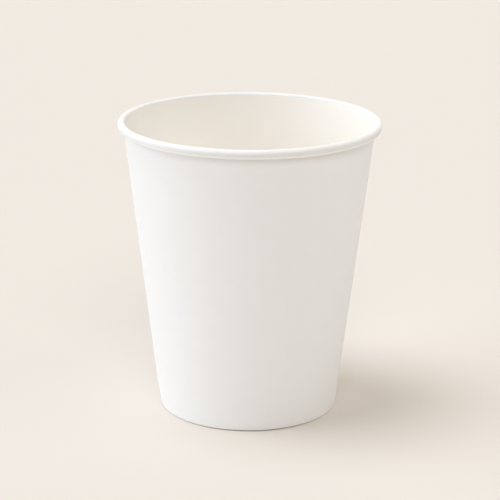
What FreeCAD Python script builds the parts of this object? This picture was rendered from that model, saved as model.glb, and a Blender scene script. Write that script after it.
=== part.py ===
import FreeCAD, Part
import math
import os
import re

import Sketcher
from FreeCAD import Placement, Rotation, Vector

# A single-wall paper cup for hot drinks, made from two pieces of coated board.
# The sidewall is a fan-shaped blank wrapped round a cone and sealed along a lap.
# Its top edge is curled outward into a hollow roll and its foot is folded inward.
# The bottom disc is drawn with a skirt, and the folded foot grips that skirt.
# Lengths are in millimetres, z is up, the foot stands on z = 0 round the z axis.

SIZES = [
    ("rim_diameter", 80.0, "over the outside of the roll"),
    ("cup_height", 90.5, "from the foot to the top of the roll"),
    ("base_diameter", 55.1, "outside of the wall, carried down to the foot"),
    ("wall_board", 0.34, "thickness of the sidewall's board"),
    ("roll_height", 2.74, "top of the roll to the underside of its lip"),
    ("roll_overhang", 1.68, "roll past the wall's outside, at the top"),
    ("crown_bend", 0.51, "inside radius where the wall turns into the roll"),
    ("shoulder_bend", 0.81, "inside radius at the outer top of the roll"),
    ("roll_gap", 0.06, "between the tucked end of the roll and the wall"),
    ("tuck_length", 1.0, "straight end of the board inside the roll"),
    ("fold_bend", 0.06, "inside radius of the two folds of the foot"),
    ("hem_height", 7.5, "top edge of the hem above the foot"),
    ("seal_gap", 0.02, "between the skirt and the boards that grip it"),
    ("bottom_board", 0.28, "thickness of the bottom disc's board"),
    ("bottom_recess", 8.8, "underside of the disc above the foot"),
    ("bottom_bend", 0.4, "inside radius between the disc and its skirt"),
    ("skirt_clearance", 0.3, "lower edge of the skirt above the fold"),
    ("lap_width", 7.0, "overlap of the blank's ends, at the mouth"),
    ("lap_ramp", 2.0, "where the outer end climbs on the inner end"),
    ("lap_taper", 0.8, "length over which the lap is pressed out flat"),
    ("lap_reach", 0.8, "how far the lap runs up behind the roll's lip"),
    ("lap_bearing", 169.5, "of the lap's cut edge from x towards y, in degrees"),
    ("lap_bond", 0.05, "depth to which the lap's layers are joined"),
    ("lap_feather", 0.02, "thickness left at the thin end of the ramp"),
]

# In a sketch, the level axis with the origin as its first vertex, and the upright axis.
LEVEL_AXIS = -1
UPRIGHT_AXIS = -2

doc = FreeCAD.newDocument("paper_cup")
sheet = doc.addObject("Spreadsheet::Sheet", "sizes")
for row, (alias, value, note) in enumerate(SIZES, start=1):
    sheet.set(f"A{row}", alias)
    sheet.set(f"B{row}", str(value))
    sheet.set(f"C{row}", note)
    sheet.setAlias(f"B{row}", alias)
doc.recompute()


def cell(text):
    """An expression of the sheet's aliases, written as plain words."""
    names = {alias for alias, value, note in SIZES}
    return re.sub(r"[a-z_]+", lambda m: f"sizes.{m[0]}" if m[0] in names else m[0], text)


def size(text):
    """The number that an expression of the sheet's aliases comes to."""
    return float(sheet.evalExpression(cell(text)))


class Wall:
    """The wall's outside as a slanted line, from which every layer is measured."""

    foot_radius = size("base_diameter") / 2
    mouth_radius = size("rim_diameter") / 2 - size("roll_overhang")
    slope = (mouth_radius - foot_radius) / size("cup_height")
    lean = math.atan(slope)

    @classmethod
    def point(cls, depth, height):
        """The point this deep inside the wall's outside face, at this height."""
        radius = cls.foot_radius + height * cls.slope - depth / math.cos(cls.lean)
        return Vector(radius, height, 0)

    @classmethod
    def depth(cls, point):
        """How deep a point lies inside the wall's outside face."""
        face = cls.foot_radius + point.y * cls.slope
        return (face - point.x) * math.cos(cls.lean)

    @classmethod
    def step(cls, along, inward):
        """A move up along the wall, and inward square to it."""
        up = Vector(math.sin(cls.lean), math.cos(cls.lean), 0)
        across = Vector(-math.cos(cls.lean), math.sin(cls.lean), 0)
        return up * along + across * inward


class Outline:
    """A sketch in an upright plane through the axis: x is the radius, y the height."""

    def __init__(self, body, name, bearing=None):
        upright = [o for o in body.Origin.OriginFeatures if o.Role == "XZ_Plane"][0]
        self.sketch = body.newObject("Sketcher::SketchObject", name)
        self.sketch.AttachmentSupport = [(upright, "")]
        self.sketch.MapMode = "FlatFace"
        if bearing:
            turn = Rotation(Vector(0, 1, 0), size(bearing))
            self.sketch.AttachmentOffset = Placement(Vector(), turn)
            self.sketch.setExpression("AttachmentOffset.Rotation.Angle", cell(bearing))
        foot = Wall.point(0, 0)
        mouth = Wall.point(0, size("cup_height"))
        self.face = self.line(foot, mouth)
        self.sketch.toggleConstruction(self.face[0])
        self.width("base_diameter / 2", self.face[0], 1)
        self.tie("PointOnObject", self.face[0], 1, LEVEL_AXIS)
        self.width("rim_diameter / 2 - roll_overhang", self.face[0], 2)
        self.height("cup_height", self.face[0], 2)

    def line(self, start, end):
        """A straight edge, as its number and its first and last vertex."""
        return self.sketch.addGeometry(Part.LineSegment(start, end), False), 1, 2

    def bend(self, centre, radius, start, end):
        """A round edge between two headings, in degrees clockwise from upward."""
        right = end > start
        swing = (180 - end, 180 - start) if right else (-start, -end)
        circle = Part.Circle(centre, Vector(0, 0, 1), radius)
        arc = Part.ArcOfCircle(circle, *map(math.radians, swing))
        first, last = (2, 1) if right else (1, 2)
        return self.sketch.addGeometry(arc, False), first, last

    def tie(self, kind, *where):
        """A constraint without a size."""
        self.sketch.addConstraint(Sketcher.Constraint(kind, *where))

    def bind(self, kind, text, *where):
        """A sized constraint whose value follows the sheet."""
        number = self.sketch.addConstraint(Sketcher.Constraint(kind, *where, size(text)))
        self.sketch.setExpression(f"Constraints[{number}]", cell(text))

    def width(self, text, edge, vertex):
        self.bind("DistanceX", text, LEVEL_AXIS, 1, edge, vertex)

    def height(self, text, edge, vertex):
        self.bind("DistanceY", text, LEVEL_AXIS, 1, edge, vertex)

    def radius(self, text, edge):
        self.bind("Radius", text, edge)

    def beside_wall(self, text, edge):
        """Keep an edge parallel to the wall's outside, this far from it."""
        self.tie("Parallel", edge[0], self.face[0])
        self.bind("Distance", text, edge[0], 1, self.face[0])

    def chain(self, edges, smooth=True):
        """Join each edge to the next, running on without a corner where smooth."""
        kind = "Tangent" if smooth else "Coincident"
        for one, two in zip(edges, edges[1:]):
            self.tie(kind, one[0], one[2], two[0], two[1])

    def cap(self, one, one_vertex, two, two_vertex):
        """A straight cut edge of the board, square to the faces that it ends."""
        start = self.sketch.getPoint(one[0], one_vertex)
        end = self.sketch.getPoint(two[0], two_vertex)
        edge = self.line(start, end)[0]
        self.tie("Coincident", edge, 1, one[0], one_vertex)
        self.tie("Coincident", edge, 2, two[0], two_vertex)
        self.tie("Perpendicular", edge, one[0])


def new_body(name):
    body = doc.addObject("PartDesign::Body", name)
    body.Label = name
    return body


def revolve(body, outline, name, angle=None):
    """Turn a profile round the cup's axis: all the way, or evenly to both sides."""
    turned = body.newObject("PartDesign::Revolution", name)
    turned.Profile = outline.sketch
    turned.ReferenceAxis = (outline.sketch, ["V_Axis"])
    turned.Angle = 360
    if angle:
        turned.Midplane = True
        turned.setExpression("Angle", cell(angle))
    return turned


def loft(body, kind, name, start, end):
    """A straight-sided blend from one profile to the other."""
    blend = body.newObject(f"PartDesign::{kind}Loft", name)
    blend.Profile = start.sketch
    blend.Sections = [end.sketch]
    blend.Ruled = True
    return blend


def draw_board_section(outline):
    """The sidewall's board in section: hem, foot, wall, roll and tucked end."""
    board = size("wall_board")
    lean = math.degrees(Wall.lean)
    top = size("cup_height")
    fold = size("fold_bend") + board
    crown = size("crown_bend") + board
    shoulder = size("shoulder_bend") + board
    hem_depth = board + 2 * size("seal_gap") + size("bottom_board")
    heel_centre = Wall.point(hem_depth + board - fold, fold)
    toe_centre = Wall.point(fold, fold)
    crown_centre = Wall.point(board - crown, top - crown)
    shoulder_centre = Vector(size("rim_diameter") / 2 - shoulder, top - shoulder, 0)
    side_depth = Wall.depth(shoulder_centre) - shoulder
    lip = (-size("roll_gap") - side_depth) / 2
    lip_centre = Wall.point(-size("roll_gap") - lip, top - size("roll_height") + lip)

    def face(inset):
        """All the edges of one face, this far from the drink's side."""
        fold_radius = size("fold_bend") + inset
        bends = [
            outline.bend(heel_centre, fold_radius, 180 + lean, 90),
            outline.bend(toe_centre, fold_radius, 90, lean),
            outline.bend(crown_centre, crown - inset, lean, 90),
            outline.bend(shoulder_centre, shoulder - inset, 90, 180 + lean),
            outline.bend(lip_centre, lip - inset, 180 + lean, 360 + lean),
        ]
        ends = [[outline.sketch.getPoint(b[0], v) for v in b[1:]] for b in bends]
        hem_end = Wall.point(hem_depth, size("hem_height")) + Wall.step(0, inset)
        tuck_end = ends[-1][1] + Wall.step(size("tuck_length"), 0)
        stops = [hem_end] + [p for pair in ends for p in pair] + [tuck_end]
        lines = [outline.line(a, b) for a, b in zip(stops[::2], stops[1::2])]
        edges = [lines[0]]
        for b, straight in zip(bends, lines[1:]):
            edges += [b, straight]
        outline.chain(edges)
        return edges

    # A bend's two faces share its centre, so the board keeps its thickness round it.
    inner = face(0)
    hem, heel, foot, toe, wall, bow, crest, brow, side, curl, tuck = inner
    outline.radius("fold_bend", heel[0])
    outline.radius("fold_bend", toe[0])
    outline.radius("crown_bend + wall_board", bow[0])
    outline.radius("shoulder_bend + wall_board", brow[0])
    outline.tie("Horizontal", foot[0])
    outline.tie("Horizontal", crest[0])
    outline.tie("Parallel", side[0], outline.face[0])
    outline.beside_wall("wall_board", wall)
    outline.beside_wall("wall_board + 2 * seal_gap + bottom_board", hem)
    outline.beside_wall("roll_gap", tuck)
    outline.height("wall_board", foot[0], 1)
    outline.height("cup_height", crest[0], 1)
    outline.width("rim_diameter / 2 - shoulder_bend - wall_board", brow[0], 3)
    outline.height("hem_height", hem[0], 1)
    outline.bind("Distance", "tuck_length", tuck[0], 1, tuck[0], 2)
    lowest = Part.Point(lip_centre - Vector(0, lip, 0))
    mark = outline.sketch.addGeometry(lowest, True)
    outline.tie("PointOnObject", mark, 1, curl[0])
    outline.tie("Vertical", mark, 1, curl[0], 3)
    outline.height("cup_height - roll_height", mark, 1)

    outer = face(board)
    far_hem, far_heel, _, far_toe, _, far_bow, _, far_brow, _, _, far_tuck = outer
    for near, far in list(zip(inner, outer))[1::2]:
        outline.tie("Coincident", near[0], 3, far[0], 3)
    outline.radius("fold_bend + wall_board", far_heel[0])
    outline.radius("fold_bend + wall_board", far_toe[0])
    outline.radius("crown_bend", far_bow[0])
    outline.radius("shoulder_bend", far_brow[0])
    outline.tie("Parallel", far_hem[0], outline.face[0])
    outline.beside_wall("roll_gap + wall_board", far_tuck)
    outline.cap(hem, 1, far_hem, 1)
    outline.cap(tuck, 2, far_tuck, 2)


def draw_disc_section(outline):
    """The bottom disc's board in section, from the axis out and down its skirt."""
    board = size("bottom_board")
    lean = math.degrees(Wall.lean)
    depth = size("wall_board + seal_gap")
    top = size("bottom_recess + bottom_board")
    bend = size("bottom_bend + bottom_board")
    centre = Wall.point(depth + bend, top - bend)
    skirt_end = Wall.point(depth, size("wall_board + skirt_clearance"))
    faces = []
    for inset in (0, board):
        curve = outline.bend(centre, bend - inset, 90, 180 + lean)
        inward, outward = (outline.sketch.getPoint(curve[0], v) for v in curve[1:])
        floor = outline.line(Vector(0, top - inset, 0), inward)
        skirt = outline.line(outward, skirt_end + Wall.step(0, inset))
        outline.chain([floor, curve, skirt])
        outline.tie("PointOnObject", floor[0], 1, UPRIGHT_AXIS)
        outline.tie("Horizontal", floor[0])
        faces.append((floor, curve, skirt))
    upper, under = faces
    outline.height("bottom_recess + bottom_board", upper[0][0], 1)
    outline.radius("bottom_bend + bottom_board", upper[1][0])
    outline.beside_wall("wall_board + seal_gap", upper[2])
    outline.height("wall_board + skirt_clearance", upper[2][0], 2)
    outline.height("bottom_recess", under[0][0], 1)
    outline.radius("bottom_bend", under[1][0])
    outline.beside_wall("wall_board + seal_gap + bottom_board", under[2])
    middle = outline.line(Vector(0, top, 0), Vector(0, top - board, 0))
    outline.chain([(upper[0][0], 2, 1), middle, under[0]], smooth=False)
    outline.cap(upper[2], 2, under[2], 2)


def draw_layer(outline, near, far, low, high, outside=False):
    """A strip along the wall between two distances from its outside face.

    low and high each give the heights of the near and the far corner. The near
    side lies inside the wall's outside face, and the far side beyond it if outside.
    """
    near_depth = size(near)
    far_depth = -size(far) if outside else size(far)
    corners = [
        Wall.point(near_depth, size(low[0])),
        Wall.point(near_depth, size(high[0])),
        Wall.point(far_depth, size(high[1])),
        Wall.point(far_depth, size(low[1])),
    ]
    sides = [outline.line(a, b) for a, b in zip(corners, corners[1:] + corners[:1])]
    outline.chain(sides + sides[:1], smooth=False)
    outline.beside_wall(near, sides[0])
    outline.beside_wall(far, sides[2])
    outline.height(low[0], sides[0][0], 1)
    outline.height(high[0], sides[0][0], 2)
    outline.height(high[1], sides[2][0], 1)
    outline.height(low[1], sides[2][0], 2)


def bearing(length):
    """The bearing this far round the mouth from the lap's cut edge."""
    mouth = "( rim_diameter / 2 - roll_overhang )"
    return f"lap_bearing + ( {length} ) / {mouth} * 180 / pi"


sidewall = new_body("sidewall")
section = Outline(sidewall, "board_section")
draw_board_section(section)
revolve(sidewall, section, "rolled_board")

foot_corner = "fold_bend + wall_board"
hem_face = "2 * wall_board + 2 * seal_gap + bottom_board"
pressed_out = (foot_corner, f"{foot_corner} + lap_taper")
behind_lip = ("cup_height - roll_height + lap_reach",) * 2
hem_edge = ("hem_height",) * 2
run_out = ("cup_height - crown_bend - wall_board",
           "cup_height - crown_bend - wall_board - lap_taper")

# The blank's outer end lies one board's thickness proud over the lap, then climbs
# down to the wall. The same step shows inside the hem, where the board is folded in.
LAYERS = [
    ("lap", "lap_bond", "wall_board", "lap_feather", behind_lip, True),
    ("hem_lap", f"{hem_face} - lap_bond", f"{hem_face} + wall_board",
     f"{hem_face} + lap_feather", hem_edge, False),
]
for name, near, far, feather, high, outside in LAYERS:
    middle = Outline(sidewall, f"{name}_section", bearing("lap_width / 2"))
    draw_layer(middle, near, far, pressed_out, high, outside)
    revolve(sidewall, middle, name, "lap_width / ( rim_diameter / 2 - roll_overhang ) * 180 / pi")
    full = Outline(sidewall, f"{name}_ramp_top", bearing("lap_width"))
    draw_layer(full, near, far, pressed_out, high, outside)
    thin = Outline(sidewall, f"{name}_ramp_foot", bearing("lap_width + lap_ramp"))
    draw_layer(thin, near, feather, pressed_out, high, outside)
    loft(sidewall, "Additive", f"{name}_ramp", full, thin)

# Inside, the board drops off the inner end's cut edge and leaves a shallow groove.
deep = Outline(sidewall, "groove_deep", bearing("lap_width"))
draw_layer(deep, "wall_board + lap_bond", "lap_feather", pressed_out, run_out)
shallow = Outline(sidewall, "groove_shallow", bearing("lap_width + lap_ramp"))
draw_layer(shallow, "wall_board + lap_bond", "wall_board", pressed_out, run_out)
loft(sidewall, "Subtractive", "lap_groove", deep, shallow)

bottom_disc = new_body("bottom_disc")
disc_section = Outline(bottom_disc, "disc_section")
draw_disc_section(disc_section)
revolve(bottom_disc, disc_section, "drawn_disc")
doc.recompute()

faulty = [o.Name for o in doc.Objects if {"Invalid", "Error"} & set(o.State)]
if faulty:
    raise RuntimeError(f"objects that failed: {faulty}")
os.makedirs("parts", exist_ok=True)
for body in (sidewall, bottom_disc):
    shape = body.Shape
    if shape.isNull() or not shape.isValid() or len(shape.Solids) != 1:
        raise RuntimeError(f"{body.Label} has no sound shape")
    shape.exportStep(f"parts/{body.Label}.step")
    print(f"{body.Label}: {shape.Volume:.1f} cubic mm")
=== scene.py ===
import bmesh
import bpy
import numpy as np
from mathutils import Matrix


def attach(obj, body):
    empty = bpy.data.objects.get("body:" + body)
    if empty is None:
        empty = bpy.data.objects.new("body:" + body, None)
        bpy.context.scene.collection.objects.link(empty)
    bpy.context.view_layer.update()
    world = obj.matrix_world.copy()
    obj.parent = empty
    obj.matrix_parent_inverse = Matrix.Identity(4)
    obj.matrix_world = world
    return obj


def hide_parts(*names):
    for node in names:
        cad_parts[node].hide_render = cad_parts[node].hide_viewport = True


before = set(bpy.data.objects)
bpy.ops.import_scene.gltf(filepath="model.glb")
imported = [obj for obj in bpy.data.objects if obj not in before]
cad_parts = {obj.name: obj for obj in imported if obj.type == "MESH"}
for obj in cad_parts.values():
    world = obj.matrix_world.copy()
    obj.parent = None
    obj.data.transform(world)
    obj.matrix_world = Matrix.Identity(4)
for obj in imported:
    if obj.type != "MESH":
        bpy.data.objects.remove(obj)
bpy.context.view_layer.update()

# The sidewall is one fan-shaped blank of white board with a thin film on the drink's
# side. It is wrapped round a cone, sealed along a lap, curled outward into the rolled
# rim at the top, and folded inward and up at the foot as a hem.
MM = 0.001
BOARD = 0.34 * MM
DISC_BOARD = 0.28 * MM
SEAL = 0.02 * MM
RIM_RADIUS = 40.0 * MM
HEIGHT = 90.5 * MM
FOOT_RADIUS = 27.55 * MM
ROLL_OVERHANG = 1.68 * MM
ROLL_HEIGHT = 2.74 * MM
CROWN_RADIUS = 0.85 * MM
SHOULDER_RADIUS = 1.15 * MM
ROLL_GAP = 0.06 * MM
TUCK = 1.0 * MM
FOLD_RADIUS = 0.06 * MM
HEM_HEIGHT = 7.5 * MM
MOUTH_RADIUS = RIM_RADIUS - ROLL_OVERHANG
LEAN = np.arctan2(MOUTH_RADIUS - FOOT_RADIUS, HEIGHT)
UP = np.array([np.sin(LEAN), np.cos(LEAN)])
OUT = np.array([np.cos(LEAN), -np.sin(LEAN)])
QUARTER = np.pi / 2


def beside_wall(depth, height):
    """The (radius, height) at this height, this deep inside the wall's outside face.

    The outside face's radius grows from the foot's with the height times the tangent of
    the lean. A depth at right angles to the leaning wall takes off itself over the cosine.
    """
    radius = FOOT_RADIUS + height * np.tan(LEAN) - depth / np.cos(LEAN)
    return np.array([radius, height])


# A straight with this many points or more has one extra point close to each end, so that
# its shading stays flat up to the bends beside it.
LONG_STRAIGHT = 5
GUARD = 0.12 * MM


def straight(start, end, count):
    """Evenly spaced points from start to end, with the normal on the path's right."""
    length = np.linalg.norm(end - start)
    t = np.linspace(0, 1, count)
    if count >= LONG_STRAIGHT:
        t = np.sort(np.append(t, [GUARD / length, 1 - GUARD / length]))
    along = (end - start) / length
    right = np.array([along[1], -along[0]])
    return start + t[:, None] * (end - start), np.repeat(right[None], len(t), axis=0)


def bend(centre, radius, start, end, count):
    """An arc round a centre while the heading turns evenly from start to end.

    Headings are clockwise from upward. The normal is on the path's right, which is
    towards the centre where the heading grows and away from it where it shrinks.
    """
    heading = np.linspace(start, end, count)
    right = np.stack([np.cos(heading), -np.sin(heading)], axis=1)
    side = -1 if end > start else 1
    return centre + side * radius * right, right


def joined(stretches):
    """Stretches of path run together, each without the point where the next one starts."""
    points = [p[:-1] for p, n in stretches[:-1]] + [stretches[-1][0]]
    normals = [n[:-1] for p, n in stretches[:-1]] + [stretches[-1][1]]
    return np.concatenate(points), np.concatenate(normals)


# The section's stretches are numbered from the hem's edge, the straights even and the
# bends odd: hem, heel, foot, toe, wall, crown, crown's edge, shoulder, side, lip, tuck.
HEM = 0
WALL = 4
SHOULDER = 7
LIP = 9

# How many points the straights have, from the hem to the tuck, and the bends.
STRAIGHT_POINTS = [9, 2, 16, 3, 3, 3]
FOLD_POINTS = 7
CROWN_POINTS = 9
SHOULDER_POINTS = 15
LIP_POINTS = 13


def board_section():
    """The drink's side of the board from the hem's edge to the end inside the roll.

    Straights run between bends of a given radius, each bend starting and ending at the
    heading of the straights beside it. Each point comes with its normal towards the
    board's other face, and with the number of its stretch.
    """
    hem_depth = BOARD + 2 * SEAL + DISC_BOARD
    fold_height = FOLD_RADIUS + BOARD
    heel = beside_wall(hem_depth - FOLD_RADIUS, fold_height)
    toe = beside_wall(BOARD + FOLD_RADIUS, fold_height)
    crown = beside_wall(BOARD - CROWN_RADIUS, HEIGHT - CROWN_RADIUS)
    shoulder = np.array([RIM_RADIUS - SHOULDER_RADIUS, HEIGHT - SHOULDER_RADIUS])
    side = (shoulder - beside_wall(0, shoulder[1])) @ OUT + SHOULDER_RADIUS
    lip_radius = (side - ROLL_GAP) / 2
    lip = beside_wall(-ROLL_GAP - lip_radius, HEIGHT - ROLL_HEIGHT + lip_radius)
    climbing = LEAN
    level = QUARTER
    falling = 2 * QUARTER + LEAN
    climbing_again = 4 * QUARTER + LEAN
    bends = [
        bend(heel, FOLD_RADIUS, falling, level, FOLD_POINTS),
        bend(toe, FOLD_RADIUS, level, climbing, FOLD_POINTS),
        bend(crown, CROWN_RADIUS, climbing, level, CROWN_POINTS),
        bend(shoulder, SHOULDER_RADIUS, level, falling, SHOULDER_POINTS),
        bend(lip, lip_radius, falling, climbing_again, LIP_POINTS),
    ]
    stops = [beside_wall(hem_depth, HEM_HEIGHT)]
    for points, normals in bends:
        stops += [points[0], points[-1]]
    stops.append(stops[-1] + TUCK * UP)
    path = [straight(stops[0], stops[1], STRAIGHT_POINTS[0])]
    for i, curve in enumerate(bends):
        path.append(curve)
        path.append(straight(stops[2 * i + 2], stops[2 * i + 3], STRAIGHT_POINTS[i + 1]))
    points, normals = joined(path)
    lengths = [len(p) - 1 for p, n in path[:-1]] + [len(path[-1][0])]
    return points, normals, np.repeat(np.arange(len(path)), lengths)


def smooth_step(x, low, high):
    """0 below low, 1 above high, and an even S between them: three t squared less two t cubed."""
    t = np.clip((x - low) / (high - low), 0, 1)
    return t * t * (3 - 2 * t)


def carried_round(angles, radius, height):
    """A section carried round the axis, one row for each angle in degrees.

    x is the radius times the angle's cosine, y the radius times its sine, z the height.
    """
    turn = np.radians(angles)[:, None]
    return np.stack([radius * np.cos(turn), radius * np.sin(turn), height], axis=-1)


SHARP_ANGLE = 35


def ring_mesh(name, grid):
    """A closed skin of four-sided faces over a grid that closes on itself both ways.

    A face goes from its own point on by a column, by a row and a column, and by a row,
    which is the way round that makes it look out of the board.
    """
    rows, columns = grid.shape[:2]
    row, column = np.meshgrid(np.arange(rows), np.arange(columns), indexing="ij")
    steps = [(0, 0), (0, 1), (1, 1), (1, 0)]
    corners = [(row + a) % rows * columns + (column + b) % columns for a, b in steps]
    mesh = bpy.data.meshes.new(name)
    mesh.from_pydata(grid.reshape(-1, 3), [], np.stack(corners, axis=-1).reshape(-1, 4))
    mesh.polygons.foreach_set("use_smooth", np.ones(len(mesh.polygons), bool))
    mesh.set_sharp_from_angle(angle=np.radians(SHARP_ANGLE))
    piece = bpy.data.objects.new(name, mesh)
    bpy.context.scene.collection.objects.link(piece)
    return piece


# The lap's bearings are in degrees from x towards y. Each cut edge is a narrow step
# between two of the bearings, and even columns that come too near to them are left out.
# The even columns are as many as give each rib of the hem six of them.
LAP_WIDTH = 7.0 * MM
RUNOUT_WIDTH = 2.0 * MM
RUNOUT_COLUMNS = 8
LAP_BEARING = 169.5
CUT_SPAN = 0.004
RIBS = 96
COLUMNS = 6 * RIBS
TOO_NEAR = 0.15
lap_end = LAP_BEARING + np.degrees(LAP_WIDTH / MOUTH_RADIUS)
runout_end = lap_end + np.degrees(RUNOUT_WIDTH / MOUTH_RADIUS)
cuts = [LAP_BEARING, LAP_BEARING + CUT_SPAN, lap_end, lap_end + CUT_SPAN]
seam = np.append(cuts, np.linspace(lap_end, runout_end, RUNOUT_COLUMNS)[1:])
even = np.arange(COLUMNS) * 360 / COLUMNS
clear = np.all(np.abs(even[:, None] - seam) > TOO_NEAR, axis=1)
angles = np.sort(np.concatenate([even[clear], seam]))

points, normals, stretch = board_section()
hem = stretch == HEM
wall = stretch == WALL
height = points[:, 1]

# Outside, the lap starts with the upper layer's cut edge. Inside, it ends with the under
# layer's, behind which the upper layer runs in to become the single wall. The layers are
# pressed to one thickness in the fold, and the lap ends under the roll.
PRESSED = (0.4 * MM, 1.3 * MM)
LAP_TOP = HEIGHT - 1.9 * MM
GROOVE_DEPTH = 0.9 * BOARD
GROOVE_LEFT_AT_MOUTH = 0.1
GROOVE_FADE = (HEIGHT - 2.2 * MM, HEIGHT - 1.0 * MM)
runout = 1 - smooth_step(angles, lap_end, runout_end)
upper_layer = np.where(angles > LAP_BEARING, runout, 0)[:, None]
behind_under_layer = np.where(angles > lap_end, runout, 0)[:, None]
unpressed = smooth_step(height, *PRESSED) * (hem | wall)
doubled = unpressed * (height < LAP_TOP)
kept = 1 - smooth_step(height, *GROOVE_FADE)
kept = GROOVE_LEFT_AT_MOUTH + (1 - GROOVE_LEFT_AT_MOUTH) * kept
groove = GROOVE_DEPTH * behind_under_layer * unpressed * wall * kept

# A knurling wheel presses upright ribs into the hem: a cosine round the foot.
RIB_DEPTH = 0.09 * MM
RIBS_START = (1.0 * MM, 1.6 * MM)
RIBS_STOP = (6.3 * MM, 6.9 * MM)
ribs = 0.5 - 0.5 * np.cos(np.radians(angles) * RIBS)[:, None]
ribbed = hem * smooth_step(height, *RIBS_START) * (1 - smooth_step(height, *RIBS_STOP))

# The roll is a little fuller where the lap runs into it. Below its shoulder its side
# leans in as the wall does, and it swells by no more than that, so that the rim's width
# stays as it is.
FULLER_ROLL = 0.12 * MM
SWELL_BEFORE = 3.5
SWELL_AFTER = 1.5
over_lap = smooth_step(angles, LAP_BEARING - SWELL_BEFORE, LAP_BEARING + SWELL_AFTER)
past_lap = smooth_step(angles, lap_end - SWELL_BEFORE, lap_end + SWELL_AFTER)
below_shoulder = (HEIGHT - SHOULDER_RADIUS - height) * (stretch >= SHOULDER)
swell = np.maximum.accumulate(np.clip(below_shoulder * np.tan(LEAN), 0, FULLER_ROLL))
swell = (over_lap * (1 - past_lap))[:, None] * swell

film_side = points + groove[..., None] * normals
thickness = BOARD * (1 + upper_layer * doubled) - RIB_DEPTH * ribs * ribbed
other_side = points + thickness[..., None] * normals
section = np.concatenate([film_side, other_side[:, ::-1]], axis=1)
section[..., 0] += np.concatenate([swell, swell[:, ::-1]], axis=1)

# The foot stands on three places and lifts between them by the square of a sine. The last
# bearing is the first one again.
FOOT_RISE = 0.2 * MM
FOOT_PLACES = [-5, 95, 195, 355]
RISE_FADE = (0.5 * MM, 8 * MM)
place_number = np.interp(angles, FOOT_PLACES, range(len(FOOT_PLACES)))
rise = FOOT_RISE * np.sin(np.pi * place_number)[:, None] ** 2
section[..., 1] += rise * (1 - smooth_step(section[..., 1], *RISE_FADE))
sidewall = ring_mesh("sidewall_board", carried_round(angles, section[..., 0], section[..., 1]))
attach(sidewall, "root")
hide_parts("sidewall")


# Every face of the board shares one look: faint clouds in the colour and the roughness,
# and fibres as a very fine bump. The patterns' scales are in repeats per metre.
CLOUD_SCALE = 240
CLOUD_DETAIL = 5
CLOUD_ROUGHNESS = 0.16
FIBRE_SCALE = 2600
FIBRE_DETAIL = 3
FIBRE_HEIGHT = 0.02 * MM
board_look = bpy.data.node_groups.new("board_look", "ShaderNodeTree")
TAKEN = {"Colour": "Color", "Clouds": "Float", "Roughness": "Float", "Fibres": "Float"}
GIVEN = {"Colour": "Color", "Roughness": "Float", "Normal": "Vector"}
for direction, sockets in (("INPUT", TAKEN), ("OUTPUT", GIVEN)):
    for socket, kind in sockets.items():
        board_look.interface.new_socket(socket, in_out=direction, socket_type="NodeSocket" + kind)
nodes, links = board_look.nodes, board_look.links
taken = nodes.new("NodeGroupInput")
given = nodes.new("NodeGroupOutput")
place = nodes.new("ShaderNodeTexCoord").outputs["Object"]

# The clouds are a noise about 0, and the colour is scaled by 1 plus them.
cloud = nodes.new("ShaderNodeTexNoise")
cloud.inputs["Scale"].default_value = CLOUD_SCALE
cloud.inputs["Detail"].default_value = CLOUD_DETAIL
links.new(place, cloud.inputs["Vector"])
centred = nodes.new("ShaderNodeMath")
centred.operation = "SUBTRACT"
centred.inputs[1].default_value = 0.5
links.new(cloud.outputs["Fac"], centred.inputs[0])
amount = nodes.new("ShaderNodeMath")
amount.operation = "MULTIPLY_ADD"
amount.inputs[2].default_value = 1
links.new(centred.outputs[0], amount.inputs[0])
links.new(taken.outputs["Clouds"], amount.inputs[1])
tint = nodes.new("ShaderNodeVectorMath")
tint.operation = "SCALE"
links.new(taken.outputs["Colour"], tint.inputs[0])
links.new(amount.outputs[0], tint.inputs["Scale"])
links.new(tint.outputs[0], given.inputs["Colour"])
roughness = nodes.new("ShaderNodeMath")
roughness.operation = "MULTIPLY_ADD"
roughness.inputs[1].default_value = CLOUD_ROUGHNESS
links.new(centred.outputs[0], roughness.inputs[0])
links.new(taken.outputs["Roughness"], roughness.inputs[2])
links.new(roughness.outputs[0], given.inputs["Roughness"])

# The fibres are a much finer noise, as the height of a bump.
grain = nodes.new("ShaderNodeTexNoise")
grain.inputs["Scale"].default_value = FIBRE_SCALE
grain.inputs["Detail"].default_value = FIBRE_DETAIL
links.new(place, grain.inputs["Vector"])
bump = nodes.new("ShaderNodeBump")
bump.inputs["Distance"].default_value = FIBRE_HEIGHT
links.new(taken.outputs["Fibres"], bump.inputs["Strength"])
links.new(grain.outputs["Fac"], bump.inputs["Height"])
links.new(bump.outputs["Normal"], given.inputs["Normal"])


def board_material(name, colour, clouds, roughness, fibres, sheen):
    """A material with the shared look of the board."""
    material = bpy.data.materials.new(name)
    material.use_nodes = True
    nodes, links = material.node_tree.nodes, material.node_tree.links
    look = nodes.new("ShaderNodeGroup")
    look.node_tree = board_look
    look.inputs["Colour"].default_value = (*colour, 1)
    look.inputs["Clouds"].default_value = clouds
    look.inputs["Roughness"].default_value = roughness
    look.inputs["Fibres"].default_value = fibres
    shader = nodes["Principled BSDF"]
    shader.inputs["Specular IOR Level"].default_value = sheen
    links.new(look.outputs["Colour"], shader.inputs["Base Color"])
    links.new(look.outputs["Roughness"], shader.inputs["Roughness"])
    links.new(look.outputs["Normal"], shader.inputs["Normal"])
    return material


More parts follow.
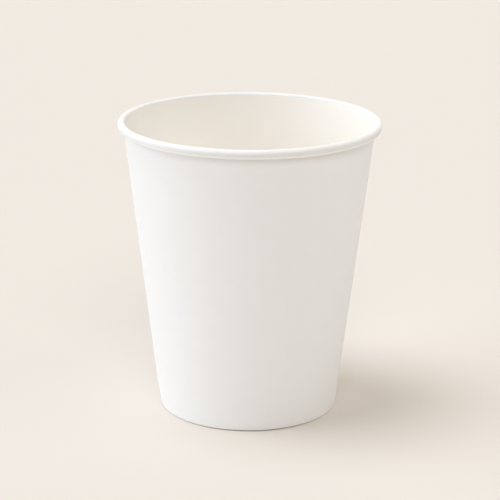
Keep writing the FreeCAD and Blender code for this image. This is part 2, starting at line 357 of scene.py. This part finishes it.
# Each finish has its colour, and then how strong its clouds are, its roughness, how much
# its fibres stand up, and its sheen. The lip's light finish is a painted highlight.
SIDEWALL_FINISHES = {
    "drink_side_film": ((0.985, 0.952, 0.9), 0.03, 0.55, 0.15, 0.25),
    "outside_board": ((0.918, 0.915, 0.914), 0.03, 0.62, 0.3, 0.4),
    "cut_edge": ((0.85, 0.82, 0.77), 0.12, 0.8, 1.0, 0.2),
    # The roll's finish is greyer and darker than the film it is made of: painted shade on the roll.
    "roll_painted_shade": ((0.85, 0.846, 0.836), 0.03, 0.5, 0.2, 0.4),
    "lip_painted_highlight": ((0.97, 0.96, 0.94), 0.03, 0.45, 0.1, 0.5),
}
for name, look in SIDEWALL_FINISHES.items():
    sidewall.data.materials.append(board_material(name, *look))
film, outside, cut_edge, roll_painted_shade, lip_painted_highlight = range(len(SIDEWALL_FINISHES))

# Each row's faces go along the film's side, over the cut edge inside the roll, back along
# the other side, and over the hem's cut edge. On the roll the film's side is outermost.
LIP_HIGHLIGHT_STEPS = 4
other_side_start = len(points) - 1
faces = np.full((len(angles), 2 * len(points)), film, np.int32)
# The roll's faces take that darker finish, painted shade.
faces[:, np.flatnonzero(stretch > WALL)[:-1]] = roll_painted_shade
# The first faces of the lip are painted lighter, a painted highlight along the roll's underside.
faces[:, np.flatnonzero(stretch == LIP)[:LIP_HIGHLIGHT_STEPS]] = lip_painted_highlight
faces[:, other_side_start:] = outside
faces[:, [other_side_start, -1]] = cut_edge
faces[np.isclose(angles, LAP_BEARING), other_side_start + 1:] = cut_edge
faces[np.isclose(angles, lap_end), :other_side_start] = cut_edge
sidewall.data.polygons.foreach_set("material_index", faces.ravel())

# The bottom disc is board drawn with a short skirt, which the folded foot grips. It
# sits above the table, with the film on its upper side.
RECESS = 8.8 * MM
DRAWN_RADIUS = 0.68 * MM
SKIRT_CLEARANCE = 0.3 * MM
DISC_POINTS = 14
DRAWN_POINTS = 12
SKIRT_POINTS = 5


def disc_section():
    """The disc's upper face: a level straight from the axis, the bend, and the skirt.

    The bend turns from level to the wall's lean, and the skirt lies one seal inside the
    wall's board.
    """
    top = RECESS + DISC_BOARD
    depth = BOARD + SEAL
    centre = beside_wall(depth + DRAWN_RADIUS, top - DRAWN_RADIUS)
    curve = bend(centre, DRAWN_RADIUS, QUARTER, 2 * QUARTER + LEAN, DRAWN_POINTS)
    skirt_end = beside_wall(depth, BOARD + SKIRT_CLEARANCE)
    disc = straight(np.array([0, top]), curve[0][0], DISC_POINTS)
    skirt = straight(curve[0][-1], skirt_end, SKIRT_POINTS)
    return joined([disc, curve, skirt])


def close_at_axis(piece):
    """The many points that meet on the axis become one on each face of the board."""
    shape = bmesh.new()
    shape.from_mesh(piece.data)
    near = 0.001 * MM
    middle = [point for point in shape.verts if point.co.xy.length < near]
    bmesh.ops.remove_doubles(shape, verts=middle, dist=near)
    shape.to_mesh(piece.data)
    shape.free()


# Drawing the skirt gathers the board, so its bend has small shallow wrinkles that fade
# out over the disc and down the skirt, and the disc itself is very slightly dished.
GATHERS = 61
GATHER_DEPTH = 0.035 * MM
GATHERS_IN = (4 * MM, 0.6 * MM)
GATHERS_DOWN = (3 * MM, 0.5 * MM)
PLACE_SHIFT = 1.3
PLACE_ROUNDS = 5
DEPTH_SPREAD = 0.3
DEPTH_ROUNDS = 7
DISH = 0.12 * MM
DISH_MARGIN = 1.5 * MM
DISC_COLUMNS = 720


def gather_waves(turn):
    """A sine of the gathers' number round the disc, from -1 to 1.

    One slow sine shifts the waves to uneven places, and another makes them uneven in
    depth, between the full one and the full one less twice the spread.
    """
    places = GATHERS * turn + PLACE_SHIFT * np.sin(PLACE_ROUNDS * turn)
    depths = 1 - DEPTH_SPREAD + DEPTH_SPREAD * np.sin(DEPTH_ROUNDS * turn + 1)
    return np.sin(places) * depths


points, normals = disc_section()
radius, height = points.T
angles = np.arange(DISC_COLUMNS) * 360 / DISC_COLUMNS
edge = radius.max()
gathered = smooth_step(radius, edge - GATHERS_IN[0], edge - GATHERS_IN[1])
gathered = gathered * smooth_step(height, RECESS - GATHERS_DOWN[0], RECESS - GATHERS_DOWN[1])
waves = gather_waves(np.radians(angles)[:, None])
sunk = GATHER_DEPTH * gathered * (1 - waves) / 2
sunk = sunk + DISH * (1 - smooth_step(radius, 0, edge - DISH_MARGIN))
face = points + sunk[..., None] * normals
section = np.concatenate([face, (face + DISC_BOARD * normals)[:, ::-1]], axis=1)
bottom = ring_mesh("bottom_board", carried_round(angles, section[..., 0], section[..., 1]))
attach(bottom, "root")
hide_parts("bottom_disc")
BOTTOM_FINISHES = {
    "bottom_film": ((0.98, 0.949, 0.899), 0.03, 0.55, 0.2, 0.25),
    "bottom_underside": ((0.90, 0.885, 0.86), 0.06, 0.7, 0.6, 0.3),
}
for name, look in BOTTOM_FINISHES.items():
    bottom.data.materials.append(board_material(name, *look))
film, underside = range(len(BOTTOM_FINISHES))
faces = np.full((len(angles), 2 * len(points)), film, np.int32)
faces[:, len(points) - 1:] = underside
bottom.data.polygons.foreach_set("material_index", faces.ravel())
close_at_axis(bottom)

# The cup stands on a plain pale table that runs on as the background. Its face lies just
# under the foot, so that the two never coincide.
TABLE_SIZE = 12
TABLE_GAP = 0.02 * MM
bpy.ops.mesh.primitive_plane_add(size=TABLE_SIZE, location=(0, 0, -TABLE_GAP))
floor = bpy.context.object
floor.name = "table"
material = bpy.data.materials.new("table")
material.use_nodes = True
shader = material.node_tree.nodes["Principled BSDF"]
shader.inputs["Base Color"].default_value = (0.75, 0.701, 0.642, 1)
shader.inputs["Roughness"].default_value = 0.9
shader.inputs["Specular IOR Level"].default_value = 0.1
floor.data.materials.append(material)

# The room fills in faintly. Its walls are as pale as the table, which only shows where a
# view looks past the table's edge.
ROOM_FILL = 0.1
ROOM_WALLS = (0.879, 0.823, 0.761, 1)
world = bpy.data.worlds.new("room")
bpy.context.scene.world = world
world.use_nodes = True
nodes, links = world.node_tree.nodes, world.node_tree.links
nodes["Background"].inputs["Color"].default_value = (1, 1, 1, 1)
nodes["Background"].inputs["Strength"].default_value = ROOM_FILL
walls = nodes.new("ShaderNodeBackground")
walls.inputs["Color"].default_value = ROOM_WALLS
ray = nodes.new("ShaderNodeLightPath")
shown = nodes.new("ShaderNodeMath")
shown.operation = "MAXIMUM"
links.new(ray.outputs["Is Camera Ray"], shown.inputs[0])
links.new(ray.outputs["Is Glossy Ray"], shown.inputs[1])
choice = nodes.new("ShaderNodeMixShader")
links.new(shown.outputs[0], choice.inputs["Fac"])
links.new(nodes["Background"].outputs[0], choice.inputs[1])
links.new(walls.outputs[0], choice.inputs[2])
links.new(choice.outputs[0], nodes["World Output"].inputs["Surface"])

# A broad cool window on the left is the main light. The ceiling, the far wall, a lamp
# in front and the room on the right fill the rest. Each has its height and its bearing
# from x towards y, both in degrees, how wide it looks, and its colour.
LIGHTS = {
    "window": (12, 180, 70, (0.672, 0.734, 0.784)),
    "ceiling": (75, 180, 30, (0.372, 0.373, 0.401)),
    "far_wall": (40, 60, 110, (0.371, 0.354, 0.322)),
    "front": (42, 275, 30, (0.257, 0.242, 0.232)),
    "right": (40, 330, 60, (0.176, 0.179, 0.173)),
}
for name, (up, turn, width, colour) in LIGHTS.items():
    light = bpy.data.lights.new(name, "SUN")
    light.energy = np.pi * max(colour)
    light.color = [c / max(colour) for c in colour]
    light.angle = np.radians(width)
    lamp = bpy.data.objects.new(name, light)
    lamp.rotation_euler = (0, np.radians(90 - up), np.radians(turn))
    bpy.context.scene.collection.objects.link(lamp)

# The camera stands where the photograph was taken from, in front of the cup and above it.
# It looks down by its elevation, past the axis by the yaw, and leans by the tilt, all in
# radians.
LENS_PIXELS = 1812.6
PHOTO_PIXELS = 500
SENSOR_WIDTH = 36
FARTHEST_SEEN = 20
DISTANCE = 0.5612
ELEVATION = 0.2980
AIM_HEIGHT = 0.04906
YAW = 0.00055
TILT = 0.0065


def turned(first, second, angle):
    """Two directions at right angles, turned in their plane so that the first moves to the second.

    The first becomes first times cosine plus second times sine, and the second becomes
    second times cosine less first times sine.
    """
    cosine, sine = np.cos(angle), np.sin(angle)
    return first * cosine + second * sine, second * cosine - first * sine


forward = np.array([0, np.cos(ELEVATION), -np.sin(ELEVATION)])
right = np.array([1.0, 0, 0])
forward, right = turned(forward, right, YAW)
up = np.cross(right, forward)
right, up = turned(right, up, TILT)
stand = (0, -DISTANCE * np.cos(ELEVATION), AIM_HEIGHT + DISTANCE * np.sin(ELEVATION))
lens = bpy.data.cameras.new("camera")
lens.sensor_width = SENSOR_WIDTH
lens.lens = LENS_PIXELS / PHOTO_PIXELS * SENSOR_WIDTH
lens.clip_end = FARTHEST_SEEN
camera = bpy.data.objects.new("camera", lens)
camera.matrix_world = Matrix.Translation(stand) @ Matrix((right, up, -forward)).transposed().to_4x4()
bpy.context.scene.collection.objects.link(camera)
bpy.context.scene.camera = camera
bpy.context.scene.view_settings.view_transform = "Standard"
